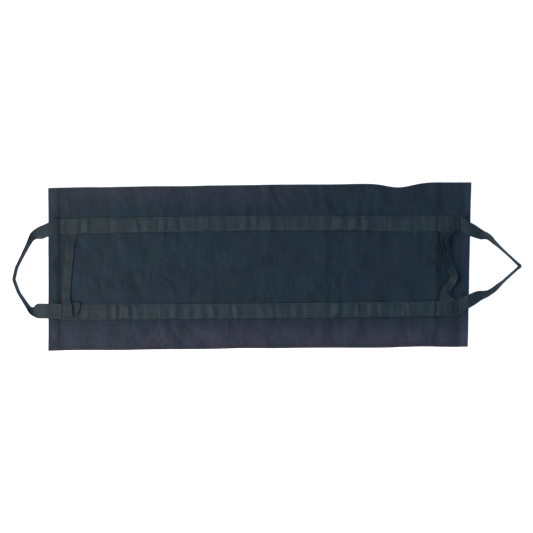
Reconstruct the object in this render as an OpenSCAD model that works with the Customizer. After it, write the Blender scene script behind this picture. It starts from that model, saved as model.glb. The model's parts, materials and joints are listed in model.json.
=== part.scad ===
// Soft rescue stretcher: a hemmed cloth sheet carrying two long webbing straps, a webbing loop past
// each end for dragging, and a webbing handle across the sheet near each end for lifting.
// The sheet is stored folded like an accordion, so it is drawn as panels between its storage creases.
// X runs from the head end (-X) to the foot end (+X), Y from the right strap (-Y) to the left strap
// (+Y), and Z up. The origin is the centre of the underside. Millimetres.

/* [Sheet] */
// Length of the sheet
sheet_l = 1800; // [1800:10:1900]
// Width of the sheet
sheet_w = 700; // [660:10:760]
// Thickness of one layer of cloth
cloth_t = 1; // [0.6:0.1:1.2]
// Width of the hem folded across each end
end_hem_w = 47; // [44:1:50]
// Width of the hem folded along each side
side_hem_w = 15; // [10:1:20]
// Layers of cloth in a hem
hem_layers = 3; // [2:1:3]

/* [Storage creases] */
// Distance from one crease to the next
crease_pitch = 235; // [232:1:235]
// Distance from the centre of the sheet to the middle crease, which lies on the foot side
middle_crease_x = 53.5; // [52:0.5:55]
// Slit left between two panels at a crease
crease_gap = 1; // [0.5:0.1:2]

/* [Long straps] */
// Width of the webbing
web_w = 64; // [60:1:66]
// Thickness of the webbing
web_t = 2.5; // [2:0.1:2.6]
// Distance between the centre lines of the two straps
strap_spacing = 366; // [350:2:380]

/* [End loops] */
// Height of the grip, where the webbing is folded in half and stands on its edge
loop_grip_h = 32; // [26:1:33]
// How far the head loop reaches past the sheet
head_loop_reach = 145; // [130:1:150]
// How far the foot loop reaches past the sheet
foot_loop_reach = 204; // [190:1:210]
// Length of each flat leg, from the hem to where its grip begins
loop_leg_l = 88; // [80:1:90]

/* [Cross handles] */
// Distance from each end of the sheet to the middle of its cross handle
handle_inset = 98; // [94:1:99]
// Width of the head handle's grip, where the webbing is folded in half
head_grip_w = 34; // [28:1:36]
// Width of the foot handle's grip, where the folded webbing rolls towards its edge
foot_grip_w = 24; // [18:1:30]
// Length over which a handle narrows next to a strap
funnel_l = 40; // [35:1:45]
// Length of the slack that droops over the right strap at the head end
slack_l = 58; // [50:1:60]

/* [Stitching] */
// Width of a row of stitches
row_w = 1; // [0.8:0.1:1.2]
// Height of a row of stitches above what it is sewn to
row_h = 0.5; // [0.3:0.1:0.6]
// Distance from a webbing edge to its row of stitches
row_inset = 4; // [3:0.5:6]

/* [Hidden] */
panels = 8;
ply_gap = 0.05;
hump_ramp = 6;
curve_steps = 12;
hem_t = hem_layers * cloth_t;
half_l = sheet_l / 2;
half_w = sheet_w / 2;
strap_y = strap_spacing / 2;
strap_inner_y = strap_y - web_w / 2;
strap_end_x = half_l - end_hem_w - 1;
strap_z = cloth_t + ply_gap;
hump_z = strap_z + web_t + ply_gap;
tail_z = hem_t + ply_gap;
loop_x = half_l - 24;
handle_x = half_l - handle_inset;
grip_t = 2 * web_t;

// Place of crease i, which lies between panel i and panel i + 1.
function crease(i) = middle_crease_x + (i - panels / 2) * crease_pitch;
// Both ends of panel i along X, cut back to the given limit on the first and last panels.
function panel_from(i, limit = half_l) = i == 1 ? -limit : crease(i - 1) + crease_gap / 2;
function panel_to(i, limit = half_l) = i == panels ? limit : crease(i) - crease_gap / 2;

// Point at t, from 0 to 1, along a cubic curve with end points a, d and handles b, c.
function cubic(a, b, c, d, t) =
    pow(1 - t, 3) * a + 3 * t * pow(1 - t, 2) * b + 3 * t * t * (1 - t) * c + pow(t, 3) * d;
// Unit normal to a path at its point k.
function path_normal(p, k) =
    let (d = p[min(k + 1, len(p) - 1)] - p[max(k - 1, 0)]) [-d.y, d.x] / norm(d);
// Path p moved sideways by s.
function beside(p, s) = [for (k = [0:len(p) - 1]) p[k] + s * path_normal(p, k)];
function backwards(p) = [for (k = [len(p) - 1:-1:0]) p[k]];
// Two cubic curves that meet at a loop's furthest point.
function bow(a, b, c, apex, e, f, g) = concat(
    [for (k = [0:curve_steps - 1]) cubic(a, b, c, apex, k / curve_steps)],
    [for (k = [0:curve_steps]) cubic(apex, e, f, g, k / curve_steps)]);

// Straight bar between two points in plan, as wide as a row of stitches.
module stitch_row(a, b, z) {
    d = b - a;
    translate([a.x, a.y, z])
        rotate([0, 0, atan2(d.y, d.x)])
            translate([0, -row_w / 2, 0])
                cube([norm(d), row_w, row_h]);
}

// Boxed cross of stitches that holds webbing down.
module boxed_cross(centre, size, z) {
    h = size / 2;
    corners = [for (s = [[-1, -1], [1, -1], [1, 1], [-1, 1]]) centre + [s.x * h.x, s.y * h.y]];
    union() {
        for (k = [0:3]) stitch_row(corners[k], corners[(k + 1) % 4], z);
        stitch_row(corners[0], corners[2], z);
        stitch_row(corners[1], corners[3], z);
    }
}

// One panel of the sheet, with its share of the side hems and, at an end, the end hem.
module cloth_panel(i) {
    from = panel_from(i);
    l = panel_to(i) - from;
    color("#33414e") union() {
        translate([from, -half_w, 0]) cube([l, sheet_w, cloth_t]);
        for (y = [-half_w, half_w - side_hem_w])
            translate([from, y, 0]) cube([l, side_hem_w, hem_t]);
        if (i == 1) translate([-half_l, -half_w, 0]) cube([end_hem_w, sheet_w, hem_t]);
        if (i == panels) translate([half_l - end_hem_w, -half_w, 0]) cube([end_hem_w, sheet_w, hem_t]);
    }
}

// A long strap's part on panel i. On an end panel it rises over the handle sewn beneath it.
module strap_piece(i, side) {
    from = panel_from(i, strap_end_x);
    to = panel_to(i, strap_end_x);
    mid = i == 1 ? -handle_x : handle_x;
    rise = hump_z - strap_z;
    hump = [[mid - web_w / 2 - hump_ramp, 0], [mid - web_w / 2, rise],
            [mid + web_w / 2, rise], [mid + web_w / 2 + hump_ramp, 0]];
    over = concat([[from, 0]], i == 1 || i == panels ? hump : [], [[to, 0]]);
    color("#3f4c57")
        translate([0, side * strap_y, strap_z])
            rotate([90, 0, 0])
                linear_extrude(height = web_w, center = true)
                    polygon(concat(over, [for (p = backwards(over)) p + [0, web_t]]));
}

// Rows of stitches along both edges of both straps on panel i, and the end hem's own row.
module thread_on_panel(i) {
    margin = web_w / 2 + hump_ramp + row_inset;
    from = i == 1 ? -handle_x + margin : panel_from(i);
    to = i == panels ? handle_x - margin : panel_to(i);
    top = strap_z + web_t + ply_gap;
    end = i == 1 ? -1 : 1;
    color("#1d252d") {
        for (side = [-1, 1], edge = [-1, 1]) {
            y = side * strap_y + edge * (web_w / 2 - row_inset);
            if (to > from) stitch_row([from, y], [to, y], top);
        }
        if (i == 1 || i == panels) {
            hem_row_x = end * (half_l - end_hem_w + row_inset);
            for (side = [-1, 1])
                boxed_cross([end * handle_x, side * strap_y], [web_w, web_w] - 2 * row_inset * [1, 1],
                            hump_z + web_t + ply_gap);
            for (y = [[-half_w, -strap_y - web_w], [-strap_inner_y + web_w / 2, strap_inner_y - web_w / 2],
                      [strap_y + web_w, half_w]])
                stitch_row([hem_row_x, y[0]], [hem_row_x, y[1]], hem_t + ply_gap);
        }
    }
}

// The two sewn ends of an end loop, lying on the hem. Ends is -1 at the head and 1 at the foot.
module loop_tails(end, left_y, right_y) {
    from = half_l - end_hem_w;
    color("#43525c")
        for (y = [left_y, right_y])
            translate([end > 0 ? from : -loop_x + 1, y - web_w / 2, tail_z])
                cube([loop_x - 1 - from, web_w, web_t]);
}

// A flat leg from the hem to the point where the webbing folds in half.
module loop_leg(from, to) {
    half = [0, web_w / 2];
    translate([0, 0, tail_z])
        linear_extrude(height = web_t)
            polygon([from - half, from + half, to + 0.9 * half, to - 0.9 * half]);
}

// The folded grip, standing on its edge along a path.
module loop_grip(path) {
    translate([0, 0, tail_z])
        linear_extrude(height = loop_grip_h)
            polygon(concat(beside(path, grip_t / 2), backwards(beside(path, -grip_t / 2))));
}

// The head loop sags towards the right strap.
module head_loop() {
    notch = loop_x + loop_leg_l;
    apex = [-half_l - head_loop_reach, -44];
    color("#43525c") union() {
        loop_leg([-loop_x, 178], [-notch, 132]);
        loop_leg([-loop_x, -177], [-notch, -168]);
        loop_grip(bow([8 - notch, 146], [-notch - 25, 107], apex + [0, 70],
                      apex, apex - [0, 40], [-notch - 31, -140], [8 - notch, -174]));
    }
}

// The foot loop is pulled out to a sharp kink.
module foot_loop() {
    notch = loop_x + loop_leg_l;
    apex = [half_l + foot_loop_reach, 1];
    color("#37444f") union() {
        loop_leg([loop_x, 167], [notch, 115]);
        loop_leg([loop_x, -176], [notch, -116]);
        loop_grip(bow([notch - 8, 128], [notch + 36, 103], apex + [-54, 50],
                      apex, apex - [29, 19], [notch + 56, -72], [notch - 8, -122]));
    }
}

// A cross handle's two ends, flat beneath the straps.
module handle_tabs(end) {
    for (side = [-1, 1])
        translate([end * handle_x - web_w / 2, side * strap_y - web_w / 2, strap_z])
            cube([web_w, web_w, web_t]);
}

// The head handle's ends, with the slack that has drooped over the right strap.
module head_handle_ends() {
    slack_z = hump_z + web_t + row_h + 2 * ply_gap;
    color("#3f4c57") {
        handle_tabs(-1);
        translate([-handle_x - head_grip_w, -strap_inner_y - slack_l, slack_z])
            cube([head_grip_w, slack_l, grip_t]);
    }
}

module foot_handle_ends() {
    color("#36434e") handle_tabs(1);
}

// A handle's grip: full width at a strap, folded to half width in between. Path gives the centre
// line from the left strap to the right one.
module handle_grip(path, grip_w) {
    n = len(path) - 1;
    half_width = [for (k = [0:n]) k == 0 || k == n ? web_w / 2 : grip_w / 2];
    outline = concat([for (k = [0:n]) path[k] + [half_width[k], 0]],
                     [for (k = [n:-1:0]) path[k] - [half_width[k], 0]]);
    translate([0, 0, strap_z]) linear_extrude(height = grip_t) polygon(outline);
}

// The head handle leans towards the head end on its way to the right strap.
module head_grip() {
    reach = strap_inner_y - ply_gap;
    color("#45535d")
        handle_grip([[-handle_x, reach], [-handle_x - 3, reach - funnel_l],
                     [-handle_x - 20, funnel_l - reach], [-handle_x - 8, -reach]], head_grip_w);
}

// The foot handle bows towards the foot end.
module foot_grip() {
    reach = strap_inner_y - ply_gap;
    color("#36434e")
        handle_grip([[handle_x + 4, reach], [handle_x - 6, reach - funnel_l], [handle_x + 23, 14],
                     [handle_x + 35, -58], [handle_x + 4, funnel_l - reach], [handle_x + 4, -reach]],
                    foot_grip_w);
}

for (i = [1:panels]) {
    cloth_panel(i);
    strap_piece(i, 1);
    strap_piece(i, -1);
    thread_on_panel(i);
}
loop_tails(-1, 184, -178);  // head_loop_tails
head_loop();
head_handle_ends();
head_grip();
loop_tails(1, 176, -182);  // foot_loop_tails
foot_loop();
foot_handle_ends();
foot_grip();
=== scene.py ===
import json
import math

import bpy
import numpy as np
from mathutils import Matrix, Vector


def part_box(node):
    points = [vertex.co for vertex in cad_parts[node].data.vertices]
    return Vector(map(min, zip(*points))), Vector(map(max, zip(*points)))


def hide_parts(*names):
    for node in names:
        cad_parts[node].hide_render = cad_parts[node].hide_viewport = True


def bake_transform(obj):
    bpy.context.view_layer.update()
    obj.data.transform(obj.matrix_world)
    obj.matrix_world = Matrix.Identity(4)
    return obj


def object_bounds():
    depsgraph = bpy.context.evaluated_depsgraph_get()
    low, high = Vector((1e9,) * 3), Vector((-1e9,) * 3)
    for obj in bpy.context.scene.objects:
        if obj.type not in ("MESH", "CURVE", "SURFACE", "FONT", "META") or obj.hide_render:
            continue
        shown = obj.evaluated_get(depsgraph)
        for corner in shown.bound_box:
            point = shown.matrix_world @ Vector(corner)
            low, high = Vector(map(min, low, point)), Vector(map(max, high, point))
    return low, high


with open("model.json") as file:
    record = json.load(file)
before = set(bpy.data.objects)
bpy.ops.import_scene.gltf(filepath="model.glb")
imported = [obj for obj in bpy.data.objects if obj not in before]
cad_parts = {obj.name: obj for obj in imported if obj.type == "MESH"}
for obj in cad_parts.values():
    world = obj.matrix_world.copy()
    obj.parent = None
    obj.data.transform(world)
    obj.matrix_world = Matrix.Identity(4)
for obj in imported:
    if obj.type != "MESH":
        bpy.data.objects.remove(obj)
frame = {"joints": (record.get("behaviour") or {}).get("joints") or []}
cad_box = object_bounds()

# The looks of the rescue stretcher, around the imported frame. Lengths are metres, and MM turns
# millimetres into them. Everything sewn to the sheet is laid out in flat sheet coordinates (x, y),
# then carried onto the rumpled sheet by on_sheet(), so that straps, stitches and cloth move together.

MM = 0.001
PANELS = 8

# ---------------- sizes taken from the frame

half_length = -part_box("cloth_1")[0].x
half_width = -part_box("cloth_1")[0].y
creases = [(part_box(f"cloth_{k}")[1].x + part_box(f"cloth_{k + 1}")[0].x) / 2 for k in range(1, PANELS)]
cuts = [-half_length] + [(a + b) / 2 for a, b in zip(creases, creases[1:])] + [half_length]
strap_low, strap_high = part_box("left_strap_4")
web_width = strap_high.y - strap_low.y
strap_y = (strap_high.y + strap_low.y) / 2
strap_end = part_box("left_strap_8")[1].x
handle_low, handle_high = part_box("foot_handle_ends")
handle_x = (handle_low.x + handle_high.x) / 2
hem_inner_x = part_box("foot_loop_tails")[0].x
hinge_x = {j["name"]: j["pos_m"][0] for j in frame["joints"] if "loop" in j["name"]}

# The cloth: its thickness, its hems, the laps of the seams beside the straps, and the width of a soft edge.
CLOTH_T = 0.8 * MM
HEM_PLIES = 3
SIDE_HEM = 15 * MM
END_HEM = half_length - hem_inner_x
LAP_LEFT = 21 * MM
LAP_RIGHT = 17 * MM
RIM = 1.5 * MM
PLY_GAP = 0.25 * MM
HEM_TOP = HEM_PLIES * CLOTH_T + PLY_GAP

# The webbing: its thickness, the radius of a fold along it and a full fold's angle in radians, and how
# its edge rounds off, as shares of half the thickness.
WEB_T = 1.9 * MM
FOLD_R = 1.35 * MM
FULL_FOLD = 3.08
ROUNDED = (0.45, 0.8, 0.95)

# Sewing: stitches, rows, the crossed boxes along each strap, and where the loops' tails are sewn.
THREAD_R = 0.42 * MM
STITCH_LONG = 4.4 * MM
STITCH_PITCH = 5.6 * MM
STRAP_ROW = 4 * MM
HEM_ROW = 3.5 * MM
TACKS = {1: (-0.708, 0.514, 0.676), -1: (-0.708, 0.450, 0.600)}
TACK_SIZE = (30 * MM, 54 * MM)
TAIL_BOX = 13 * MM
TAIL_Y = {"head_left": 184 * MM, "head_right": -179 * MM, "foot_left": 174 * MM, "foot_right": -176 * MM}

# ---------------- small mathematics


def smooth(t):
    """0 below 0, 1 above 1, and an even S between."""
    t = np.clip(t, 0, 1)
    return t * t * (3 - 2 * t)


def bell(d, width):
    return np.exp(-(d / width) ** 2)


def noise(x, y, seed):
    """Gradient noise, about -0.7 to 0.7, one unit from one lattice point to the next."""
    x, y = np.broadcast_arrays(np.asarray(x, float), np.asarray(y, float))
    draw = np.random.default_rng(seed)
    order, angle = draw.permutation(256), draw.uniform(0, 2 * np.pi, 256)
    ix, iy = np.floor(x).astype(int), np.floor(y).astype(int)
    fx, fy = x - ix, y - iy

    def corner(dx, dy):
        turn = angle[order[(order[(ix + dx) & 255] + iy + dy) & 255]]
        return np.cos(turn) * (fx - dx) + np.sin(turn) * (fy - dy)

    u = fx ** 3 * (fx * (6 * fx - 15) + 10)
    v = fy ** 3 * (fy * (6 * fy - 15) + 10)
    low = corner(0, 0) * (1 - u) + corner(1, 0) * u
    high = corner(0, 1) * (1 - u) + corner(1, 1) * u
    return low * (1 - v) + high * v


def ridged(x, y, seed, soft=0.06):
    """Noise folded at zero: 0 in sharp valleys and up to about 0.7 between them."""
    n = noise(x, y, seed)
    return np.sqrt(n * n + soft * soft) - soft


def unit(v):
    return v / np.maximum(np.linalg.norm(v, axis=-1, keepdims=True), 1e-12)


# ---------------- the rumpled sheet

# How strongly each crease shows between the straps, and in the margins outside them.
CREASE_STRENGTH = (
    (0.08, 0.08), (0.1, 0.1), (0.12, 0.12), (0.35, 0.8), (0.9, 0.35), (0.15, 0.2), (0.8, 0.95),
)


def crease_strength(k, y):
    middle, margin = CREASE_STRENGTH[k - 1]
    return middle + (margin - middle) * smooth((np.abs(y) - 0.14) / 0.07)


def strap_centre(x, side):
    """Centre line of a long strap: nearly straight, drifting a few millimetres."""
    if side > 0:
        sway = 5 * MM * np.sin((x + 0.75) * 2.1) * (1 - smooth((x - 0.3) / 0.5))
        return strap_y + sway - 5 * MM * smooth(x / 0.7)
    return -strap_y - 2.5 * MM * np.sin((x + 0.9) * 1.7)


def strap_gap(x, y):
    """Distance from the nearer strap's edge, negative under the strap."""
    upper = np.abs(y - strap_centre(x, 1))
    lower = np.abs(y - strap_centre(x, -1))
    return np.minimum(upper, lower) - web_width / 2


def pucker_profile(seed):
    """Places along a strap and its heights there: flat facets between sharp bends, as sewing leaves them."""
    draw = np.random.default_rng(seed)
    places = np.cumsum(draw.uniform(11 * MM, 42 * MM, 90)) - half_length - 50 * MM
    heights = draw.uniform(0, 1.1 * MM, 90)
    heights[::2] += draw.uniform(0.9 * MM, 5.0 * MM, 45)
    return places, heights


PUCKERS = {1: pucker_profile(44), -1: pucker_profile(52)}


def pucker(x, side):
    """Height of the ripples that sewing leaves along a strap."""
    lively = 1 + 0.7 * smooth((x - 0.05) / 0.35)
    return lively * (np.interp(x, *PUCKERS[side]) + 1.4 * MM * ridged(x / 0.017, 0 * x + 0.4, 46))


def from_crease(x, y, k):
    """Distance past crease k, which wanders a little as it crosses the sheet."""
    return x - creases[k - 1] + 2.5 * MM * noise(y / 0.12, k + 0 * y, 60)


def crease_rise(x, y):
    """Storage creases: odd ones stand up as ridges, even ones are pressed in between two low banks."""
    total = 0 * x
    for k in range(1, PANELS):
        d = from_crease(x, y, k)
        along = crease_strength(k, y) * (0.8 + 0.7 * noise(y / 0.1, k + 0.5 + 0 * y, 61))
        if k % 2:
            ridge = np.sqrt(d * d + (3 * MM) ** 2)
            total = total + along * (2.8 * MM * np.exp(-ridge / 0.016) + 1.5 * MM * bell(d, 0.05))
        else:
            total = total + along * (3.2 * MM * bell(d, 0.034) - 2.4 * MM * bell(d, 0.015))
    return total


def edge_rise(x, y):
    """The long edges lift in slow waves, and the corners curl a little.

    The left edge stays low beside crease 6, where it meets itself when the sheet is folded."""
    reach = smooth((np.abs(y) - 0.25) / 0.1)
    upper = (4 + 7 * noise(x / 0.16, 0.5 + 0 * x, 70)) * (1 - bell(x - creases[5], 0.17))
    upper = upper + 1.5 * bell(x - 0.6, 0.055)
    lower = 2.5 + 4.5 * noise(x / 0.14, 0.5 + 0 * x, 71)
    wave = np.where(y > 0, upper, lower) * reach
    ends = smooth((np.abs(x) - 0.84) / 0.06) * (2 + 5 * noise(y / 0.1, np.sign(x) * 3.3, 72))
    return np.maximum(wave + ends, 0) * MM


def rise(x, y):
    """Height of the sheet's underside over the floor."""
    x, y = np.broadcast_arrays(np.asarray(x, float), np.asarray(y, float))
    u = x + 0.05 * noise(x / 0.17, y / 0.17, 21)
    v = y + 0.05 * noise(x / 0.17, y / 0.17, 22)
    lively = 0.45 + 1.1 * smooth(0.5 + 1.3 * noise(x / 0.23, y / 0.2, 23))
    broad = 8.5 * ridged(u / 0.17, v / 0.19, 11)
    broad = broad + 5.5 * ridged((u + 0.5 * v) / 0.08, (v - 0.3 * u) / 0.14, 12) * lively
    fine = 3.0 * ridged(u / 0.037, v / 0.05, 13) * lively
    gap = strap_gap(x, y)
    calm = 0.35 + 0.65 * smooth(gap / 0.05)
    ripple = np.where(y > 0, pucker(x, 1), pucker(x, -1))
    drawn = 0.5 * ripple * np.exp(-np.maximum(gap, 0) / 0.045) * (gap > 0)
    height = (broad + fine) * MM * calm + crease_rise(x, y) + edge_rise(x, y) + drawn
    level = 0.8 * MM
    return 0.5 * (height - level + np.sqrt((height - level) ** 2 + level ** 2))


def drift(x, y):
    """How far points have moved in plan from a true rectangle: skewed ends and wavy long edges."""
    foot = 0.5 + 0.5 * x / half_length
    skew_x = (1 - foot) * (1.3 + 3.3 * y / half_width) + foot * (-5.3 + 10.8 * y / half_width)
    edge = smooth((np.abs(y) - 0.24) / 0.11)
    upper = -16 * bell(x - 0.59, 0.07) + 3 * noise(x / 0.2, 0.5 + 0 * x, 80) - 2 * smooth(-x / 0.9)
    upper = upper + 3 * smooth((x - 0.64) / 0.1)
    lower = 4 + 4 * noise(x / 0.22, 0.5 + 0 * x, 81)
    return skew_x * MM, np.where(y > 0, upper, lower) * edge * MM


def on_sheet(x, y, height):
    """Point over flat sheet coordinates (x, y), at a height above the sheet's underside."""
    dx, dy = drift(x, y)
    return np.stack([x + dx, y + dy, rise(x, y) + height], axis=-1)


def hem_step(x, y):
    """0 on single cloth and 1 on a hem, with a soft step where the fold ends."""
    side = smooth((np.abs(y) - (half_width - SIDE_HEM)) / (1.6 * MM) + 0.5)
    end = smooth((np.abs(x) - (half_length - END_HEM)) / (1.6 * MM) + 0.5)
    return np.maximum(side, end)


def seam_step(x, y):
    """The lapped seams beside the straps: a doubled band that ends in a fine ledge."""
    lower = y - (strap_centre(x, -1) + web_width / 2)
    upper = y - (strap_centre(x, 1) + web_width / 2)
    band_low = smooth(lower / MM) * (1 - smooth((lower - LAP_RIGHT) / RIM))
    band_up = smooth(upper / MM) * (1 - smooth((upper - LAP_LEFT) / RIM)) * smooth((x - 0.02) / 0.1)
    return np.maximum(band_low, band_up)


def cover_step(x, y):
    """At the head end the hem is folded over the left tail of the loop, so it stands higher there."""
    across = 1 - smooth((np.abs(y - TAIL_Y["head_left"]) - web_width / 2 - 1 * MM) / (5 * MM))
    along = smooth((x + 0.884) / (2 * MM)) * (1 - smooth((x + 0.852) / (2 * MM)))
    return across * along


def sheet_thickness(x, y):
    plies = 1 + (HEM_PLIES - 1) * hem_step(x, y) + 0.9 * seam_step(x, y)
    stitch_x = bell(np.abs(x) - (half_length - END_HEM + 4 * MM), 1.6 * MM) * (np.abs(x) > 0.8)
    stitch_y = bell(np.abs(y) - (half_width - SIDE_HEM + 3 * MM), 1.6 * MM)
    pinch = 1 - 0.35 * np.maximum(stitch_x, stitch_y)
    return CLOTH_T * plies * pinch + (WEB_T + CLOTH_T) * cover_step(x, y)


# ---------------- mesh building


def grid_quads(rows, columns, first=0, flip=False, close=False):
    """Quads of a grid of points stored row by row. With close, the last column joins the first."""
    across = columns if close else columns - 1
    i, j = np.meshgrid(np.arange(rows - 1), np.arange(across), indexing="ij")
    a = i * columns + j
    b = i * columns + (j + 1) % columns
    quads = np.stack([a, b, b + columns, a + columns], axis=-1).reshape(-1, 4) + first
    return quads[:, ::-1] if flip else quads


def build(name, shape, material):
    """A mesh piece from a shape: its points, its faces with normals at their points, or None for flat
    ones, and the weave coordinates, painted light and tone, and painted sheen that its material reads."""
    points = shape["points"]
    normals = []
    for faces, point_normals in shape["faces"]:
        if point_normals is None:
            corner = points[faces]
            flat = unit(np.cross(corner[:, 2] - corner[:, 0], corner[:, 3] - corner[:, 1]))
            normals.append(np.repeat(flat[:, None], 4, axis=1))
        else:
            normals.append(point_normals[faces])
    normals = np.concatenate(normals)
    quads = np.concatenate([faces for faces, _ in shape["faces"]])
    mesh = bpy.data.meshes.new(name)
    mesh.vertices.add(len(points))
    mesh.vertices.foreach_set("co", points.astype(np.float32).ravel())
    mesh.loops.add(quads.size)
    mesh.loops.foreach_set("vertex_index", quads.astype(np.int32).ravel())
    mesh.polygons.add(len(quads))
    mesh.polygons.foreach_set("loop_start", np.arange(0, quads.size, 4, dtype=np.int32))
    mesh.polygons.foreach_set("use_smooth", np.ones(len(quads), bool))
    mesh.update(calc_edges=True)
    layer = mesh.attributes.new("weave", "FLOAT_VECTOR", "POINT")
    layer.data.foreach_set("vector", shape["weave"].astype(np.float32).ravel())
    for label in ("painted_light_and_tone", "painted_sheen"):
        values = shape.get(label, np.zeros(len(points)))
        layer = mesh.attributes.new(label, "FLOAT", "POINT")
        layer.data.foreach_set("value", values.astype(np.float32))
    mesh.normals_split_custom_set(normals.reshape(-1, 3).astype(np.float32))
    mesh.materials.append(material)
    piece = bpy.data.objects.new(name, mesh)
    bpy.context.scene.collection.objects.link(piece)
    return piece


def surface_normals(grid, close=False):
    """Normals of a grid of points, from the differences along its rows and columns."""
    down = np.gradient(grid, axis=0)
    if close:
        across = np.roll(grid, -1, axis=1) - np.roll(grid, 1, axis=1)
    else:
        across = np.gradient(grid, axis=1)
    return unit(np.cross(across, down))


# ---------------- the cloth sheet


def graded_lines(low, high, step, places, reach, fine):
    """Grid lines every step, with finer ones within reach of each place."""
    lines = [np.arange(low, high + step / 2, step)]
    for place in places:
        lines.append(np.arange(place - reach, place + reach + fine / 2, fine))
    lines = np.unique(np.concatenate(lines + [np.array([low, high])]))
    lines = lines[(lines >= low) & (lines <= high)]
    keep = [lines[0]]
    for line in lines[1:]:
        if line - keep[-1] > 0.7 * fine:
            keep.append(line)
    keep[-1] = high
    return np.array(keep)


def with_lines(lines, wanted):
    """The same lines, with the nearest one moved onto each wanted place."""
    lines = lines.copy()
    for place in wanted:
        lines[np.argmin(np.abs(lines - place))] = place
    return lines


# Painted shadows beside the feet of the loops and the foot handle: (x, y, depth).
PAINTED_SHADOWS = (
    (0.885, 0.204, 0.75), (0.880, -0.122, 0.75), (-0.854, -0.141, 0.3), (-0.871, 0.227, 0.2),
    (0.822, 0.093, 0.6), (0.824, -0.108, 0.6),
)


def line_painted_shade(x, y):
    """Painted shade: dark lines in the creases and along the straps' edges, where shade falls."""
    painted_light_and_tone = 0 * (x + y)
    for k in range(1, PANELS):
        d = from_crease(x, y, k)
        painted_light_and_tone = painted_light_and_tone - crease_strength(k, y) * (0.1 * bell(d, 0.007) + 0.14 * bell(d, 0.018))
    gap = strap_gap(x, y)
    return painted_light_and_tone - (0.14 + 0.12 * (y < 0)) * bell(np.maximum(gap, 0), 0.0045) * (gap > -0.002)


def hem_painted_shade_and_tone(x, y):
    """Painted shade along the end hems' seams, painted shadows beside the loops' feet and the foot handle,
    and the hems' paler outer edges.
    """
    inward = half_length - END_HEM - np.abs(x)
    painted_light_and_tone = -0.13 * bell(inward, 0.004) - 0.1 * bell(inward - 2 * MM, 0.013)
    between = 1 - smooth((np.abs(y) - 0.19) / 0.05)
    cover = 1 - smooth((np.abs(y - 0.172) - 0.045) / 0.02)
    # Painted shade where the head hem's edge stands over the cloth, between the straps and over the covered
    # tail.
    painted_light_and_tone = painted_light_and_tone - 0.14 * (between + cover) * bell(x + half_length - END_HEM, 0.014) * (x < 0)
    for place_x, place_y, depth in PAINTED_SHADOWS:
        painted_light_and_tone = painted_light_and_tone - depth * bell(np.hypot((x - place_x) / 1.3, y - place_y), 0.012)
    paler_ends = smooth((np.abs(x) - half_length + 36 * MM) / (14 * MM))
    return painted_light_and_tone + (0.1 + 0.14 * (x > 0)) * paler_ends


def foot_painted_light_and_tone(x, y):
    """Painted shade past the last crease, between the straps, where the foot handle's arch shades the sheet;
    painted light between the handle and the hem, lifting the handle's shadow; and paler cloth in the upper
    margin and towards the foot.
    """
    past = x - creases[-1] - 0.02 * noise(y / 0.07, 0.5 + 0 * y, 62)
    shade_x = smooth((past + 0.002) / 0.014) * (1 - smooth((past - 0.01) / 0.06))
    off_middle = np.abs(y + 0.02 * noise(x / 0.03, 0.5, 63))
    shade_y = 1 - smooth((off_middle - strap_y + web_width * 0.7) / 0.06)
    painted_light_and_tone = (0.22 * bell(x - 0.843, 0.014) - 0.36 * shade_x) * shade_y
    painted_light_and_tone = painted_light_and_tone + 0.14 * smooth((x - 0.765) / 0.02) * smooth((y - 0.2) / 0.03)
    return painted_light_and_tone + 0.05 * smooth((x - 0.5) / 0.2)


def sheet_painted_light_and_tone(x, y):
    """Change of tone: below 0 for painted shade in creases, seams and shadowed hollows, and above 0 for
    painted light and for paler cloth.
    """
    return line_painted_shade(x, y) + hem_painted_shade_and_tone(x, y) + foot_painted_light_and_tone(x, y)


def painted_sheen_amount(x, y):
    """How strongly a painted sheen tints the cloth a pale violet: the outer margins, and most of all the
    right one.
    """
    foot = 0.5 + 0.5 * x / half_length
    right = smooth((-y - 0.19) / 0.13) * (0.52 + 0.62 * smooth(foot * 1.8))
    left = smooth((y - 0.22) / 0.13) * (0.55 - 0.42 * smooth((foot - 0.45) / 0.25))
    blotch = 0.85 + 0.5 * noise(x / 0.12, y / 0.09, 30)
    return np.clip((right + left) * blotch, 0, 1)


def merged(first, second):
    """Two sets of grid lines as one, without lines that nearly meet."""
    lines = np.union1d(first, second)
    end = lines[-1]
    lines = lines[np.concatenate([[True], np.diff(lines) > 0.3 * MM])]
    lines[-1] = end
    return lines


def sheet_lines():
    """Grid lines along and across the sheet, finest at creases, hems and the seams' ledges."""
    hems = [s * (half_length - d) for s in (-1, 1) for d in (END_HEM, RIM)]
    xs = merged(graded_lines(-half_length, half_length, 5 * MM, creases, 12 * MM, 2 * MM),
                graded_lines(-half_length, half_length, 5 * MM, hems, 4 * MM, 0.8 * MM))
    edges = [s * (half_width - d) for s in (-1, 1) for d in (SIDE_HEM, RIM)]
    ledges = [-strap_y + web_width / 2 + LAP_RIGHT, strap_y + web_width / 2 + LAP_LEFT]
    ys = merged(graded_lines(-half_width, half_width, 5 * MM, edges, 4 * MM, 0.8 * MM),
                graded_lines(-half_width, half_width, 5 * MM, ledges, 5 * MM, 1.2 * MM))
    return with_lines(xs, cuts), ys


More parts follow.
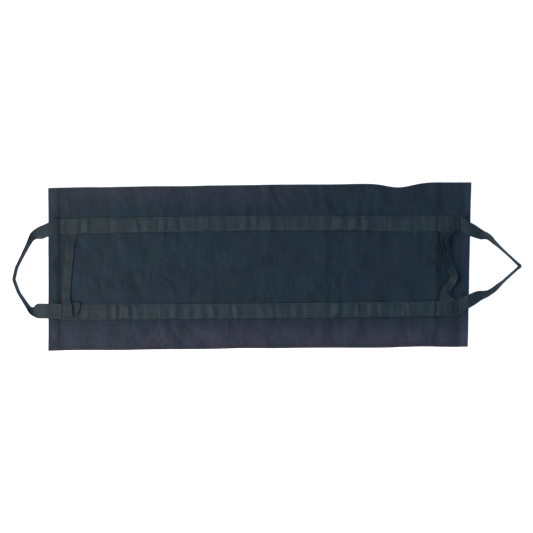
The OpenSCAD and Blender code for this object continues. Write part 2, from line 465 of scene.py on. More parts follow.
def make_sheet(cloth):
    xs, ys = sheet_lines()
    x, y = np.meshgrid(xs, ys, indexing="ij")
    thick = sheet_thickness(x, y)
    inset = np.minimum(half_length - np.abs(x), half_width - np.abs(y))
    bulge = np.sqrt(np.clip(1 - (1 - np.clip(inset / (1.4 * MM), 0, 1)) ** 2, 0.06, 1))
    top = on_sheet(x, y, thick * (0.5 + 0.5 * bulge))
    bottom = on_sheet(x, y, thick * (0.5 - 0.5 * bulge))
    top_normal, bottom_normal = -surface_normals(top), surface_normals(bottom)
    flat = np.stack([x, y, 0 * x], axis=-1)
    painted_light_and_tone, painted_sheen = sheet_painted_light_and_tone(x, y), painted_sheen_amount(x, y)
    for k in range(1, PANELS):
        first, last = np.searchsorted(xs, [cuts[k - 1], cuts[k]])
        span = slice(first, last + 1)
        rows, columns = last + 1 - first, len(ys)
        n = rows * columns
        shell = np.concatenate([top[span].reshape(-1, 3), bottom[span].reshape(-1, 3)])
        normals = np.concatenate([top_normal[span].reshape(-1, 3), bottom_normal[span].reshape(-1, 3)])
        rim = boundary(rows, columns)
        walls = np.stack([rim, rim + n, np.roll(rim, -1) + n, np.roll(rim, -1)], axis=-1)
        shape = {
            "points": shell,
            "faces": [
                (grid_quads(rows, columns, flip=True), normals),
                (grid_quads(rows, columns, n), normals),
                (walls, None),
            ],
            "weave": np.tile(flat[span].reshape(-1, 3), (2, 1)),
            "painted_light_and_tone": np.tile(painted_light_and_tone[span].ravel(), 2),
            "painted_sheen": np.tile(painted_sheen[span].ravel(), 2),
        }
        piece = build(f"sheet_{k}", shape, cloth)
        across_crease(piece, k, "cloth")


def boundary(rows, columns):
    """Indices round the edge of a grid, anticlockwise when rows run right and columns run up."""
    lower = np.arange(rows) * columns
    right = (rows - 1) * columns + np.arange(1, columns)
    upper = np.arange(rows - 2, -1, -1) * columns + columns - 1
    left = np.arange(columns - 2, 0, -1)
    return np.concatenate([lower, right, upper, left])


def across_crease(piece, k, nodes):
    """Bakes a piece's transform into its mesh, and has it replace the CAD node of panel k.

    The last piece covers the last two panels, so it replaces both of their nodes."""
    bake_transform(piece)
    last = k + 1 if k == PANELS - 1 else k
    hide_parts(*[f"{nodes}_{i}" for i in range(k, last + 1)])


# ---------------- stitches


def stitch_shape():
    """A stitch along X, 1 long: a low arch of thread, four-sided, with both ends sunk in the cloth."""
    angles = np.arange(4) * np.pi / 2
    rings = []
    for t, radius in ((-0.5, 0.5), (-0.25, 1.0), (0.25, 1.0), (0.5, 0.5)):
        arch = 0.9 * (1 - 4 * t * t) - 0.4
        across, up = radius * np.cos(angles), radius * np.sin(angles) + arch
        rings.append(np.stack([np.full(4, t), across, up], axis=-1))
    return np.array(rings)


def stitches(centres, along, up):
    """One shape with a stitch at each centre, lying along one direction with the other as its up."""
    along = unit(along)
    up = unit(up - (up * along).sum(-1, keepdims=True) * along)
    across = np.cross(up, along)
    shape = stitch_shape()
    rings, sides = shape.shape[:2]
    shape = shape.reshape(-1, 3)
    points = (centres[:, None]
              + shape[None, :, :1] * STITCH_LONG * along[:, None]
              + shape[None, :, 1:2] * THREAD_R * across[:, None]
              + shape[None, :, 2:] * THREAD_R * up[:, None])
    last = (rings - 1) * sides
    ends = np.array([[3, 2, 1, 0], [last, last + 1, last + 2, last + 3]])
    one = np.concatenate([grid_quads(rings, sides, close=True), ends])
    faces = (one[None] + (np.arange(len(centres)) * len(shape))[:, None, None]).reshape(-1, 4)
    flat = points.reshape(-1, 3)
    axis = np.repeat(centres, len(shape), axis=0)
    slope = np.repeat(along, len(shape), axis=0)
    radial = flat - axis
    radial = radial - 0.8 * (radial * slope).sum(-1, keepdims=True) * slope
    return {"points": flat, "faces": [(faces, unit(radial))], "weave": flat}


def row(start, end):
    """Places and directions of the stitches along a straight line in sheet coordinates."""
    start, end = np.asarray(start, float), np.asarray(end, float)
    length = np.linalg.norm(end - start)
    count = max(int(length / STITCH_PITCH), 1)
    t = (np.arange(count) + 0.5) / count
    return start + t[:, None] * (end - start), np.tile((end - start) / length, (count, 1))


def joined(rows):
    return np.concatenate([r[0] for r in rows]), np.concatenate([r[1] for r in rows])


def crossed_box(x, y, size_x, size_y):
    """Rows round a box and along both its diagonals."""
    a, b, c, d = [(x + i * size_x / 2, y + j * size_y / 2) for i, j in ((-1, -1), (1, -1), (1, 1), (-1, 1))]
    return joined([row(*ends) for ends in ((a, b), (b, c), (c, d), (d, a), (a, c), (b, d))])


def laid(rows, height):
    """Centres, directions and ups of stitches on the sheet. Height is a function of the place."""
    places, directions = rows

    def at(p):
        return on_sheet(p[:, 0], p[:, 1], height(p[:, 0], p[:, 1]))

    reach = 1.5 * MM
    sideways = np.stack([-directions[:, 1], directions[:, 0]], axis=-1)
    along = at(places + reach * directions) - at(places - reach * directions)
    across = at(places + reach * sideways) - at(places - reach * sideways)
    return at(places), along, np.cross(along, across)


def strap_rows(side):
    """Both edge rows of a long strap, its tacks, and the crossed boxes over the handle ends."""
    edge = web_width / 2 - STRAP_ROW
    rows = [row((-strap_end + 4 * MM, v), (strap_end - 4 * MM, v)) for v in (-edge, edge)]
    rows += [crossed_box(x, 0, *TACK_SIZE) for x in TACKS[side]]
    rows += [crossed_box(x, 0, 2 * edge, 2 * edge) for x in (-handle_x, handle_x)]
    places, directions = joined(rows)
    places[:, 1] += strap_centre(places[:, 0], side)
    return places, directions


def hem_rows():
    rows = []
    x, y = half_length - END_HEM + HEM_ROW, half_width - SIDE_HEM + HEM_ROW
    for s in (-1, 1):
        rows.append(row((-half_length, s * y), (half_length, s * y)))
        gaps = sorted(v for name, v in TAIL_Y.items() if name.startswith("head" if s < 0 else "foot"))
        stops = [-half_width]
        for middle in gaps:
            stops += [middle - web_width / 2, middle + web_width / 2]
        stops.append(half_width)
        rows += [row((s * x, a), (s * x, b)) for a, b in zip(stops[::2], stops[1::2])]
    return joined(rows)


def make_stitching(thread):
    sewn = [laid(hem_rows(), sheet_thickness)]
    for side in (1, -1):
        sewn.append(laid(strap_rows(side),
                         lambda x, y, s=side: strap_height(x, y - strap_centre(x, s), s) + WEB_T))
    middle = half_length - END_HEM + TAIL_BOX / 2 + 5 * MM
    for name, y in TAIL_Y.items():
        x = -middle if name.startswith("head") else middle
        top = sheet_thickness if name == "head_left" else lambda x, y: HEM_TOP + WEB_T + 0 * x
        sewn.append(laid(crossed_box(x, y, TAIL_BOX, web_width - 2 * STRAP_ROW), top))
    centres, along, up = [np.concatenate(values) for values in zip(*sewn)]
    owner = 1 + np.searchsorted(cuts[1:-1], centres[:, 0], side="right")
    for k in range(1, PANELS):
        mine = owner == k
        piece = build(f"stitching_{k}", stitches(centres[mine], along[mine], up[mine]), thread)
        across_crease(piece, k, "seam_thread")


# ---------------- long straps


def hump(x):
    """How far a long strap is lifted by the cross handle sewn beneath it."""
    return (WEB_T + PLY_GAP) * (1 - smooth((np.abs(np.abs(x) - handle_x) - web_width / 2) / (7 * MM)))


def strap_height(x, v, side):
    """Height of a strap's underside above the sheet's underside, v across it from its centre line."""
    half = web_width / 2
    rows = bell(np.abs(v) - (half - STRAP_ROW), 2.6 * MM)
    slanted = x + 0.5 * v * noise(x / 0.055, 0.7 + 0 * x, 91)
    ripple = pucker(slanted, side) * (1 - 0.75 * rows) * (0.55 + 0.45 * np.cos(v / half * 1.2))
    for place in TACKS[side]:
        near = 1 - smooth((np.abs(x - place) - TACK_SIZE[0] / 2) / (8 * MM))
        ripple = ripple * (1 - 0.85 * near)
    sewn_down = smooth((np.abs(x) - handle_x + 55 * MM) / (20 * MM))
    ripple = ripple * (1 - 0.88 * sewn_down)
    curl = 0.3 + 0.5 * np.abs(noise(x / 0.05, v / 0.05, 90))
    curl = curl * smooth((np.abs(v) - half + 3 * MM) / (3 * MM))
    thick = CLOTH_T * (1 + 0.9 * seam_step(x, strap_centre(x, side) + v))
    return thick + PLY_GAP + ripple + hump(x) + curl * MM * (1 - sewn_down)


def strap_section():
    """Places round a strap's section, and how high each is in the webbing's thickness, 0 to 1."""
    half = web_width / 2
    inner = np.array((0, 0.25, 0.7, 1.6, 2.8, 4.0, 5.2, 7.5, 12, 18, 25)) * MM
    shares = np.ones(len(inner))
    shares[:3] = ROUNDED
    v = np.concatenate([inner - half, [0], (half - inner)[::-1]])
    share = np.concatenate([shares, [1], shares[::-1]])
    return np.concatenate([v, v[::-1]]), 0.5 + 0.5 * np.concatenate([share, -share[::-1]])


def strap_painted_shade_and_tone(x, v, side):
    """Change of tone: painted shade in the creases and where the strap goes under the hem, pale on its
    edges, and paler towards the foot.
    """
    painted_light_and_tone = 0 * x
    for k, line in enumerate(creases, 1):
        painted_light_and_tone = painted_light_and_tone - 0.3 * crease_strength(k, strap_y) * bell(x - line, 0.007)
    painted_light_and_tone = painted_light_and_tone + 0.3 * bell(np.abs(v) - web_width / 2 + 1 * MM, 3.2 * MM)
    painted_light_and_tone = painted_light_and_tone + (0.05 if side > 0 else 0.11) * smooth((x + 0.55) / 0.35)
    return painted_light_and_tone - 0.45 * bell(np.abs(x) - strap_end + 15 * MM, 14 * MM)


def make_straps(webbing):
    v, share = strap_section()
    for side, name in ((1, "left"), (-1, "right")):
        xs = with_lines(graded_lines(-strap_end, strap_end, 4 * MM, creases, 10 * MM, 2 * MM), cuts[1:-1])
        x, w = np.meshgrid(xs, v, indexing="ij")
        points = on_sheet(x, strap_centre(x, side) + w, strap_height(x, w, side) + share * WEB_T)
        normals = -surface_normals(points, close=True)
        painted_light_and_tone = strap_painted_shade_and_tone(x, w, side)
        weave = np.stack([x, w, 0 * x], axis=-1)
        stops = np.searchsorted(xs, np.clip(cuts, xs[0], xs[-1]) - 1e-7)
        for k in range(1, PANELS):
            rows = slice(stops[k - 1], stops[k] + 1)
            shape = tube(points[rows], normals[rows], weave[rows], painted_light_and_tone[rows])
            piece = build(f"{name}_webbing_{k}", shape, webbing)
            across_crease(piece, k, f"{name}_strap")


def tube(points, normals, weave, painted_light_and_tone):
    """A closed section repeated along rows and capped at both ends.

    The section's second half runs back under the first."""
    rows, columns = points.shape[:2]
    j = np.arange(columns // 2 - 1)
    cap = np.stack([j, j + 1, columns - 2 - j, columns - 1 - j], axis=-1)
    body = grid_quads(rows, columns, flip=True, close=True)
    return {
        "points": points.reshape(-1, 3),
        "faces": [(body, normals.reshape(-1, 3)), (cap, None), (cap[:, ::-1] + (rows - 1) * columns, None)],
        "weave": weave.reshape(-1, 3),
        "painted_light_and_tone": painted_light_and_tone.ravel(),
    }


# ---------------- webbing that folds along its length


def soften(values, width):
    """Values along a path, one row per millimetre, with their corners rounded off."""
    reach = int(3 * width)
    kernel = np.exp(-0.5 * (np.arange(-reach, reach + 1) / width) ** 2)
    steps = np.arange(1, reach + 1)[:, None]
    before = values[0] + (values[0] - values[1]) * steps[::-1]
    after = values[-1] + (values[-1] - values[-2]) * steps
    padded = np.concatenate([before, values, after])
    return np.stack([np.convolve(column, kernel / kernel.sum(), "valid") for column in padded.T], axis=-1)


def stations(stops, width, step=3):
    """Rows of (x, y, z, roll, fold, share) every few millimetres along a path through a few stops."""
    stops = np.array(stops, float)
    along = np.concatenate([[0], np.cumsum(np.linalg.norm(np.diff(stops[:, :3], axis=0), axis=1))])
    t = np.linspace(0, along[-1], int(along[-1]) + 1)
    rows = np.stack([np.interp(t, along, column) for column in stops.T], axis=-1)
    rows = np.concatenate([soften(rows[:, :3], width), soften(rows[:, 3:], 3)], axis=-1)
    rows[:, 5] = np.clip(rows[:, 5], 0.05, 0.97)
    return rows[np.unique(np.append(np.arange(0, len(rows), step), len(rows) - 1))]


def half_turn(last, drop, forward):
    """Stations round half a circle in the YZ plane, from a last one to a place lower by drop."""
    angle = np.linspace(0, np.pi, 11)[1:-1]
    turn = np.repeat(last[None], len(angle), axis=0)
    turn[:, 1] += forward * drop / 2 * np.sin(angle)
    turn[:, 2] -= drop / 2 * (1 - np.cos(angle))
    return turn


def strip_columns(fold_line):
    """Places across webbing whose inner edge is folded about a line, from the outer edge to the inner
    one, and the share of half the thickness at each. The fold line has one place per row."""
    half = web_width / 2
    f = fold_line[:, None]
    flap = half + f
    bend = np.minimum(FOLD_R * FULL_FOLD, flap / 2)
    rim = np.minimum(1, (flap - bend) / (4 * MM))
    outer = half - np.array((0, 0.25, 0.7, 1.8, 5, 11, 18, 25)) * MM + 0 * f
    middle = outer[:, -1:] + (f - outer[:, -1:]) * np.linspace(0, 1, 5)[1:]
    round_fold = f - bend * np.linspace(0, 1, 7)[1:]
    rest = f - bend - (flap - bend - 1.8 * MM * rim) * np.array((0.25, 0.6, 1))
    edge = -half + np.array((0.7, 0.25, 0)) * MM * rim
    v = np.concatenate([outer, middle, round_fold, rest, edge], axis=1)
    share = np.ones(v.shape[1])
    share[:3] = ROUNDED
    share[-3:] = ROUNDED[::-1]
    return v, share


def strip_directions(centre, length, roll, outward, held):
    """Directions across webbing, towards its outer edge, and off its face, both after its roll."""
    t = unit(np.gradient(centre, axis=0))
    if outward is None:
        w = unit(np.cross(t, [0, 0, 1]))
        past_end = np.minimum(length - held[0] * MM, length[-1] - length - held[1] * MM)
        sewn = 1 - smooth(past_end[:, None] / (40 * MM))
        w = unit(w + sewn * (np.sign(w[:, 1:2]) * [0, 1, 0] - w))
        n = np.tile([0, 0, 1.0], (len(t), 1))
    else:
        w = np.tile(np.array(outward, float), (len(t), 1))
        w = unit(w - (w * t).sum(-1, keepdims=True) * t)
        n = np.cross(w, t)
    return w * np.cos(roll) + n * np.sin(roll), n * np.cos(roll) - w * np.sin(roll)


def folded_section(v, side, fold_line, fold):
    """Places across and off the webbing's face, of places v across it when it is flat. Side is the
    share of half the thickness, positive on top."""
    past = np.maximum(fold_line - v, 0)
    bent = np.minimum(past / FOLD_R, np.abs(fold))
    rest = np.maximum(past - FOLD_R * np.abs(fold), 0)
    way = np.where(fold < 0, -1.0, 1.0)
    a = np.maximum(v, fold_line) - web_width / 4 - FOLD_R * np.sin(bent) - rest * np.cos(fold)
    b = way * (FOLD_R * (1 - np.cos(bent)) + rest * np.sin(np.abs(fold)))
    a = a + side * WEB_T / 2 * way * np.sin(bent)
    b = b + side * WEB_T / 2 * np.cos(bent)
    flat = np.abs(fold) < 1e-3
    return np.where(flat, v - web_width / 4, a), np.where(flat, side * WEB_T / 2, b)


def webbing_strip(path, outward, held):
    """Points, flat coordinates, and painted light and tone of webbing along stations.

    Each station is the middle of the outer half. The inner edge folds over, or under if the fold angle
    is negative, and all of it rolls about the path. Outward is the outer edge's side. Without it, the
    webbing follows its path's bends, and both its ends lie square to X over the two lengths held."""
    centre = path[:, :3] * MM
    length = np.concatenate([[0], np.cumsum(np.linalg.norm(np.diff(centre, axis=0), axis=1))])
    roll, fold = np.radians(path[:, 3:4]), np.radians(path[:, 4:5])
    w, n = strip_directions(centre, length, roll, outward, held)
    half = web_width / 2
    fold_line = -half * (1 - path[:, 5])
    v, share = strip_columns(fold_line)
    v, side = np.concatenate([v, v[:, ::-1]], axis=1), np.concatenate([share, -share[::-1]])
    a, b = folded_section(v, side, fold_line[:, None], fold)
    points = centre[:, None] + a[..., None] * w[:, None] + b[..., None] * n[:, None]
    weave = np.stack(np.broadcast_arrays(length[:, None], v, 0 * v), axis=-1)
    # Paler edges, a painted highlight along the fold line, and painted light on loops where they lean up
    # from the sheet.
    folded = np.sin(np.abs(fold) / 2)
    painted_light_and_tone = 0.2 * bell(half - np.abs(v), 1.8 * MM)
    painted_light_and_tone = painted_light_and_tone + 0.22 * bell(v - fold_line[:, None], 2.5 * MM) * folded
    painted_light_and_tone = painted_light_and_tone + 0.14 * np.abs(np.sin(roll)) * (outward is None)
    return points, weave, painted_light_and_tone


def rest_on_sheet(points):
    """Carries points over a flat sheet onto the rumpled one. Past its ends they settle to the floor."""
    x, y = points[..., 0], points[..., 1]
    on = 1 - smooth((np.abs(x) - half_length) / 0.07)
    inside = np.clip(x, -half_length, half_length)
    dx, dy = drift(inside, y)
    moved = points + np.stack([dx, dy, rise(inside, y)], axis=-1) * on[..., None]
    moved[..., 2] = np.maximum(moved[..., 2], 0.2 * MM)
    return moved


class Strip:
    """Webbing along a path, from which pieces are cut."""

    def __init__(self, path, webbing, outward=None, held=(0, 0)):
        points, self.weave, self.painted_light_and_tone = webbing_strip(path, outward, held)
        self.points = rest_on_sheet(points)
        self.normals = -surface_normals(self.points, close=True)
        self.webbing = webbing

    def piece(self, name, rows, bodies, start, end, nodes):
        shape = tube(self.points[rows], self.normals[rows], self.weave[rows], self.painted_light_and_tone[rows])
        made = build(name, shape, self.webbing)
        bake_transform(made)
        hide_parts(*nodes)


# A stop is (x, y, height, roll, fold, share). The first three are the middle of the webbing's outer
# half, in millimetres over the sheet's underside. Roll is its lean about the path, and fold is how far its
# inner edge is turned over, or under if negative, both in degrees. Share is how much of the inner half
# is turned.

END = half_length / MM
QUARTER = web_width / 4 / MM
HEM_Z = (HEM_TOP + WEB_T / 2) / MM
TAB_Z = (CLOTH_T + PLY_GAP + WEB_T / 2) / MM
FLAT = (0, 0, 0.05)
UNDER = (0, -176, 0.97)
SEWN = (-176, 0.97)


def moved_to(x, stops):
    return [(stop[0] + x, *stop[1:]) for stop in stops]


def head_loop_path():
    """From the left tail to the right one. The stops' X counts from the head end."""
    return stations(moved_to(-END, [
        (28, TAIL_Y["head_left"] / MM + QUARTER, HEM_Z, *FLAT), (8, 189, 5.4, 0, -170, 0.07),
        (-3, 182, 6, 0, -174, 0.17), (-31, 169, 5, 0, -176, 0.27), (-46, 159, 5, 0, -176, 0.4),
        (-56, 150, 6, 8, -176, 0.6), (-64, 141, 8, 24, -176, 0.93), (-72, 128, 12, 50, *SEWN),
        (-85, 102, 15, 64, *SEWN), (-109, 53, 17, 76, *SEWN), (-132, 8, 17, 77, *SEWN),
        (-144, -42, 17, 77, *SEWN), (-124, -97, 17, 77, *SEWN), (-103, -131, 17, 72, *SEWN),
        (-85, -160, 15, 64, *SEWN), (-77, -171, 12, 46, *SEWN), (-70, -178, 8, 22, -176, 0.9),
        (-62, -185, 6, 7, -176, 0.62), (-54, -190, 5, 0, -174, 0.33), (-47, -193, 4.6, 0, -170, 0.07),
        (-4, -194, 4.8, *FLAT), (24, -195, HEM_Z + 0.4, *FLAT), (44, -196, HEM_Z + 1, *FLAT),
        (58, -196, HEM_Z + 1.2, *FLAT)]), 6)


def foot_loop_path():
    """From the right tail to the left one. The stops' X counts from the foot end."""
    return stations(moved_to(END, [
        (-44, -198, HEM_Z, *FLAT), (-24, -185, 5, 0, -165, 0.06), (-14, -177, 6.4, 0, -170, 0.12),
        (-3, -169, 6.8, 0, -174, 0.25), (16, -154, 6, 0, -176, 0.48), (36, -137, 5.2, 0, -176, 0.68),
        (48, -130, 5.5, 6, -176, 0.82), (60, -125, 8.5, 26, *SEWN), (76, -118, 13, 48, *SEWN),
        (94, -107, 15, 53, *SEWN), (109, -94, 16, 58, *SEWN), (123, -80, 17, 70, *SEWN),
        (137, -67, 17, 80, *SEWN), (196, -15, 17, 83, *SEWN), (209, -6, 17, 74, *SEWN),
        (196, 4, 17, 80, *SEWN), (172, 27, 17, 84, *SEWN), (145, 52, 17, 83, *SEWN),
        (116, 80, 17, 77, *SEWN), (97, 99, 16, 63, *SEWN), (88, 110, 14, 54, *SEWN),
        (77, 120, 12, 46, *SEWN), (64, 126, 8, 24, *SEWN), (52, 130, 5.5, 6, -176, 0.82),
        (35, 142, 5.2, 0, -176, 0.62), (16, 155, 6, 0, -176, 0.45), (-2, 167, 6.8, 0, -174, 0.25),
        (-14, 176, 6.4, 0, -170, 0.12), (-24, 183, 5, 0, -165, 0.06), (-44, 197, HEM_Z, *FLAT)]), 4)


def head_handle_path():
    """From under the left strap, across the sheet, over the right strap, and back under it."""
    x, drop = -handle_x / MM, 7.8
    over, flat_z = 14.8, 7.2
    tab_x = x - QUARTER
    top = stations([
        (tab_x, 205, TAB_Z, *FLAT), (tab_x, 152, TAB_Z, *FLAT), (tab_x + 1, 146, 3, 0, -110, 0.15),
        (x - 8, 118, 5.2, 0, -170, 0.72), (x - 5, 98, 5.4, *UNDER), (x - 15, -4, 5.0, *UNDER),
        (x - 24, -120, 6.0, *UNDER), (x - 20, -142, 11.0, *UNDER), (x - 14, -156, over, *UNDER),
        (x - 10, -202, over, *UNDER)], 6)
    top[:, 2] += 2.2 * bell(top[:, 1] - 97, 3.5) - 0.8 * bell(top[:, 1] - 90, 3.5)
    back = stations([
        (x - 10, -202, over - drop, *UNDER), (x - 8, -196, over - drop, 0, -176, 0.72),
        (x - 6, -184, over - drop, 0, -174, 0.3), (x - 8, -168, over - drop, 0, -170, 0.08),
        (x - 12, -148, flat_z, *FLAT)], 4)
    under = stations([
        (x - 12, -148, TAB_Z, *FLAT), (tab_x, -170, TAB_Z, *FLAT), (tab_x, -205, TAB_Z, *FLAT)], 4)
    first_turn, second_turn = half_turn(top[-1], drop, -1), half_turn(back[-1], flat_z - TAB_Z, 1)
    return np.concatenate([top, first_turn, back, second_turn, under])


def foot_handle_path():
    """From under the left strap, across the sheet in loose twists, and under the right strap."""
    x = handle_x / MM
    path = stations([
        (x - 12, 205, TAB_Z, *FLAT), (x - 12, 152, TAB_Z, *FLAT), (x - 12, 143, 4, 0, 60, 0.6),
        (x - 14, 118, 9, 10, 118, 0.9), (x - 10, 91, 12, 30, 160, 0.97), (x + 2, 52, 13, 42, 174, 0.97),
        (x + 12, 18, 13, 40, 174, 0.97), (x + 21, -16, 12, 20, 174, 0.97), (x + 27, -38, 12, -8, 174, 0.97),
        (x + 27, -58, 12, -16, 174, 0.97), (x + 15, -84, 9, -4, 172, 0.97), (x - 4, -106, 4.5, 0, 165, 0.8),
        (x - 10, -128, 3.2, 0, 120, 0.3), (x - 12, -150, TAB_Z, *FLAT), (x - 12, -205, TAB_Z, *FLAT)], 5)
    loose = 1 - smooth((np.abs(path[:, 1]) - 70) / 40)
    path[:, 0] += 2.2 * loose * np.sin(path[:, 1] / 11)
    path[:, 3] += 9 * loose * np.sin(path[:, 1] / 8)
    return path


END_PANEL = {"head": "panel_1", "foot": f"panel_{PANELS}"}
HANDLE_SHADE = {"head": 0.16, "foot": 0.04}


def make_loops(webbing):
    for name, path, held in (("head", head_loop_path(), (52, 112)), ("foot", foot_loop_path(), (44, 44))):
        x = hinge_x[f"{name}_loop_turn"]
        out = math.copysign(10 * MM, x)
        Strip(path, webbing, held=held).piece(
            f"{name}_loop_webbing", slice(None), (END_PANEL[name], f"{name}_loop"),
            start=(x - out, 0, 0), end=(x + 2 * out, 0, 0),
            nodes=(f"{name}_loop", f"{name}_loop_tails"))


def make_handles(webbing):
    """Each handle is two pieces, left and right."""
    for name, path in (("head", head_handle_path()), ("foot", foot_handle_path())):
        strip = Strip(path, webbing, outward=(-1, 0, 0))
        strip.painted_light_and_tone -= HANDLE_SHADE[name]
        middle = int(np.argmax(path[:, 1] < 0))
        halves = (("left", slice(0, middle + 1), 1), ("right", slice(middle, None), -1))
        for side, rows, sign in halves:
            strip.piece(
                f"{name}_handle_{side}", rows, (END_PANEL[name], f"{name}_grip"),
                start=(0, sign * (strap_y - web_width / 2), 0), end=(0, sign * 40 * MM, 0),
                nodes=(f"{name}_grip", f"{name}_handle_ends"))


# ---------------- materials


class Shader:
    """A node material under construction."""

    def __init__(self, name):
        self.material = bpy.data.materials.new(name)
        self.material.use_nodes = True
        self.nodes = self.material.node_tree.nodes
        self.links = self.material.node_tree.links
        self.surface = self.nodes["Principled BSDF"]

    def connect(self, socket, value):
        if isinstance(value, bpy.types.NodeSocket):
            self.links.new(value, socket)
        else:
            socket.default_value = value

    def node(self, kind, *inputs, output=0, **settings):
        made = self.nodes.new(kind)
        for key, value in settings.items():
            setattr(made, key, value)
        for socket, value in zip(made.inputs, inputs):
            if value is not None:
                self.connect(socket, value)
        return made.outputs[output]

    def math(self, operation, *inputs):
        return self.node("ShaderNodeMath", *inputs, operation=operation)

    def attribute(self, name, output="Vector"):
        return self.node("ShaderNodeAttribute", attribute_name=name, output=output)

    def noise(self, vector, scale, detail=2.0, roughness=0.5):
        made = self.nodes.new("ShaderNodeTexNoise")
        self.connect(made.inputs["Vector"], vector)
        for key, value in (("Scale", scale), ("Detail", detail), ("Roughness", roughness)):
            self.connect(made.inputs[key], value)
        return made.outputs["Fac"]

    def stretched(self, vector, scale):
        return self.node("ShaderNodeVectorMath", vector, scale, operation="MULTIPLY")

    def remap(self, value, low, high, to_low, to_high):
        return self.node("ShaderNodeMapRange", value, low, high, to_low, to_high)

    def mix(self, factor, a, b, blend_type="MIX"):
        made = self.nodes.new("ShaderNodeMix")
        made.data_type = "RGBA"
        made.blend_type = blend_type
        for socket, value in ((made.inputs["Factor"], factor), (made.inputs[6], a), (made.inputs[7], b)):
            self.connect(socket, value)
        return made.outputs[2]

    def scaled(self, colour, factor):
        """A colour times a number."""
        return self.node("ShaderNodeVectorMath", colour, None, None, factor, operation="SCALE")

    def finish(self, colour, roughness, height, bump, distance, specular, sheen):
        self.connect(self.surface.inputs["Base Color"], colour)
        self.connect(self.surface.inputs["Roughness"], roughness)
        self.connect(self.surface.inputs["Specular IOR Level"], specular)
        self.connect(self.surface.inputs["Sheen Weight"], sheen)
        self.connect(self.surface.inputs["Sheen Roughness"], 0.4)
        made = self.nodes.new("ShaderNodeBump")
        for key, value in (("Strength", bump), ("Distance", distance), ("Height", height)):
            self.connect(made.inputs[key], value)
        self.connect(self.surface.inputs["Normal"], made.outputs["Normal"])
        return self.material


def wave(shader, value, pitch):
    """A sine of a coordinate in metres, from 0 to 1."""
    turned = shader.math("SINE", shader.math("MULTIPLY", value, 2 * math.pi / pitch))
    return shader.remap(turned, -1, 1, 0, 1)


def split(shader, vector):
    made = shader.nodes.new("ShaderNodeSeparateXYZ")
    shader.connect(made.inputs[0], vector)
    return made.outputs[0], made.outputs[1]


def plain_weave(shader, weave, pitch):
    """Threads passing over and under one another, from 0 to 1."""
    x, y = split(shader, weave)
    over = shader.math("MULTIPLY", wave(shader, x, pitch), wave(shader, y, pitch))
    x2, y2 = shader.math("ADD", x, pitch / 2), shader.math("ADD", y, pitch / 2)
    under = shader.math("MULTIPLY", wave(shader, x2, pitch), wave(shader, y2, pitch))
    return shader.math("MAXIMUM", over, under)


# Colours of the cloth: clean, the pale violet of the painted sheen on its margins, and greener patches.
CLOTH_MAIN = (0.0125, 0.0225, 0.0355, 1)
CLOTH_SHEEN_TINT = (0.0365, 0.0378, 0.0560, 1)
CLOTH_TEAL = (0.0112, 0.0245, 0.0350, 1)


def cloth_material():
    s = Shader("coated_cloth")
    weave, painted_light_and_tone, painted_sheen = s.attribute("weave"), s.attribute("painted_light_and_tone", "Fac"), s.attribute("painted_sheen", "Fac")
    broad = s.noise(s.stretched(weave, (1, 1.4, 1)), 4.5, 3)
    patch = s.noise(s.stretched(weave, (1.3, 0.8, 1)), 11, 4, 0.55)
    crumple = s.noise(s.stretched(weave, (1, 0.8, 1)), 70, 4, 0.65)
    streak = s.noise(s.stretched(weave, (1, 0.07, 1)), 130, 2, 0.6)
    grain = s.noise(s.stretched(weave, (0.07, 1, 1)), 190, 2, 0.6)
    fleck = s.noise(weave, 260, 3, 0.7)
    colour = s.mix(s.remap(broad, 0.35, 0.65, 0, 1), CLOTH_MAIN, CLOTH_TEAL)
    # Painted sheen on the margins, in a pale violet.
    colour = s.mix(painted_sheen, colour, CLOTH_SHEEN_TINT)
    tone = s.math("ADD", s.remap(patch, 0.3, 0.7, 0.76, 1.24), s.remap(fleck, 0.3, 0.7, -0.08, 0.08))
    # Crumple's tone follows its bump, darker in its hollows: painted shade. Streaks and grain are tone only.
    for lines, depth in ((crumple, 0.12), (streak, 0.1), (grain, 0.05)):
        tone = s.math("ADD", tone, s.remap(lines, 0.3, 0.7, -depth, depth))
    # Painted light and shade, and tone, carried by the mesh.
    tone = s.math("ADD", tone, painted_light_and_tone)
    # The weave is darker where its threads lie low: painted shade between them.
    threads = plain_weave(s, weave, 0.9 * MM)
    tone = s.math("MULTIPLY", tone, s.remap(threads, 0, 1, 0.9, 1.06))
    height = s.math("ADD", s.math("MULTIPLY", threads, 0.16), s.math("MULTIPLY", crumple, 1.3))
    rough = s.remap(patch, 0.3, 0.7, 0.62, 0.78)
    return s.finish(s.scaled(colour, tone), rough, height, 0.35, 0.9 * MM, 0.15, 0.02)


# Colours of the webbing, in patches.
WEB_MAIN = (0.0184, 0.0292, 0.0382, 1)
WEB_GREEN = (0.0175, 0.0315, 0.0368, 1)


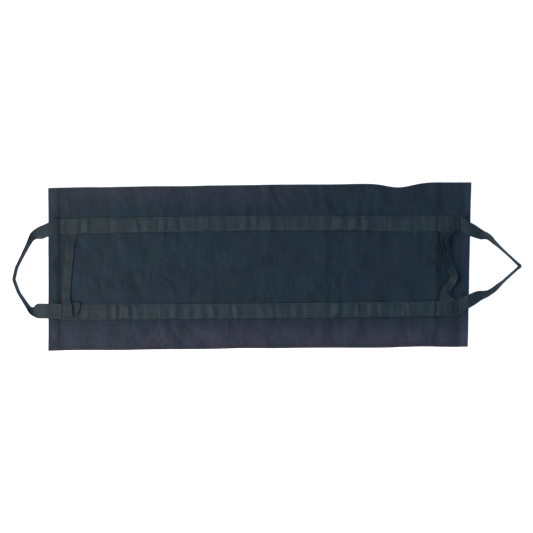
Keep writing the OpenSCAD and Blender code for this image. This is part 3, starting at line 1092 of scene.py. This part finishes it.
def webbing_material():
    s = Shader("woven_webbing")
    weave, painted_light_and_tone = s.attribute("weave"), s.attribute("painted_light_and_tone", "Fac")
    along, across = split(s, weave)
    patch = s.noise(s.stretched(weave, (1, 0.25, 1)), 36, 3, 0.65)
    ribs = s.noise(s.stretched(weave, (1, 0.1, 1)), 150, 2, 0.5)
    cords = s.noise(s.stretched(weave, (0.03, 1, 1)), 170, 2, 0.6)
    broad = s.noise(weave, 5, 2)
    rib = wave(s, across, 1.7 * MM)
    chevron = wave(s, s.math("ADD", along, s.math("MULTIPLY", s.math("ABSOLUTE", across), 0.5)), 1.4 * MM)
    threads = s.math("MULTIPLY", s.remap(rib, 0, 1, 0.35, 1), s.remap(chevron, 0, 1, 0.5, 1))
    colour = s.mix(s.remap(broad, 0.35, 0.65, 0, 1), WEB_MAIN, WEB_GREEN)
    tone = s.math("ADD", s.remap(patch, 0.3, 0.7, 0.72, 1.28), s.remap(cords, 0.3, 0.7, -0.15, 0.15))
    # Painted light and shade, and tone, carried by the mesh.
    tone = s.math("ADD", tone, painted_light_and_tone)
    # The weave is darker where its threads lie low: painted shade in its grooves.
    tone = s.math("MULTIPLY", tone, s.remap(threads, 0.2, 1, 0.86, 1.08))
    height = s.math("ADD", s.math("MULTIPLY", threads, 0.3), s.math("MULTIPLY", ribs, 2.0))
    rough = s.remap(patch, 0.3, 0.7, 0.5, 0.66)
    return s.finish(s.scaled(colour, tone), rough, height, 0.5, 0.9 * MM, 0.2, 0.03)


def thread_material():
    s = Shader("sewing_thread")
    twist = s.noise(s.attribute("weave"), 900, 2)
    # The thread is darker where its twist's bump is low: painted shade in the twist.
    colour = s.mix(twist, (0.012, 0.016, 0.020, 1), (0.026, 0.034, 0.040, 1))
    return s.finish(colour, 0.55, twist, 0.4, 0.15 * MM, 0.4, 0.1)


def floor_material():
    s = Shader("pale_floor")
    grain = s.noise(s.node("ShaderNodeTexCoord", output="Object"), 3, 2)
    s.connect(s.surface.inputs["Emission Color"], (1, 1, 1, 1))
    seen = s.nodes.new("ShaderNodeLightPath").outputs["Is Camera Ray"]
    s.connect(s.surface.inputs["Emission Strength"], s.math("MULTIPLY", seen, 0.7))
    colour = s.mix(grain, (0.93, 0.93, 0.93, 1), (0.95, 0.95, 0.95, 1))
    return s.finish(colour, 0.9, grain, 0.02, MM, 0.1, 0.0)


# ---------------- studio


def make_studio():
    centre = (cad_box[0] + cad_box[1]) / 2
    length = cad_box[1].x - cad_box[0].x
    bpy.ops.mesh.primitive_plane_add(size=30, location=(centre.x, centre.y, -0.5 * MM))
    floor = bpy.context.object
    floor.name = "floor"
    floor.data.materials.append(floor_material())

    world = bpy.data.worlds.new("studio")
    bpy.context.scene.world = world
    world.use_nodes = True
    sky = world.node_tree.nodes["Background"]
    sky.inputs["Color"].default_value = (0.75, 1.0, 1.35, 1)
    sky.inputs["Strength"].default_value = 0.55

    light = bpy.data.lights.new("window", "AREA")
    light.shape = "RECTANGLE"
    light.size, light.size_y = 1.2, 2.0
    light.energy = 150
    light.color = (1.0, 0.8, 0.58)
    window = bpy.data.objects.new("window", light)
    window.location = (-3.0, -0.8, 2.2)
    aim = np.array([-0.1, 0.0, 0.0]) - np.array(window.location)
    window.rotation_mode = "QUATERNION"
    window.rotation_quaternion = Vector(aim).to_track_quat("-Z", "Y")
    bpy.context.scene.collection.objects.link(window)

    # Straight above, a few millimetres off the centre and slightly turned.
    lens = bpy.data.cameras.new("camera")
    distance, margin = 8.0, 1.0541
    lens.sensor_width = 36
    lens.lens = distance * lens.sensor_width / (length * margin)
    lens.clip_end = 50
    camera = bpy.data.objects.new("camera", lens)
    camera.location = (centre.x + 1 * MM, 3 * MM, distance)
    camera.rotation_euler = (0, 0, math.radians(-0.56))
    bpy.context.scene.collection.objects.link(camera)
    bpy.context.scene.camera = camera
    bpy.context.scene.view_settings.view_transform = "Standard"


# ---------------- the whole stretcher

cloth, webbing, thread = cloth_material(), webbing_material(), thread_material()
make_sheet(cloth)
make_straps(webbing)
make_stitching(thread)
make_loops(webbing)
make_handles(webbing)
make_studio()
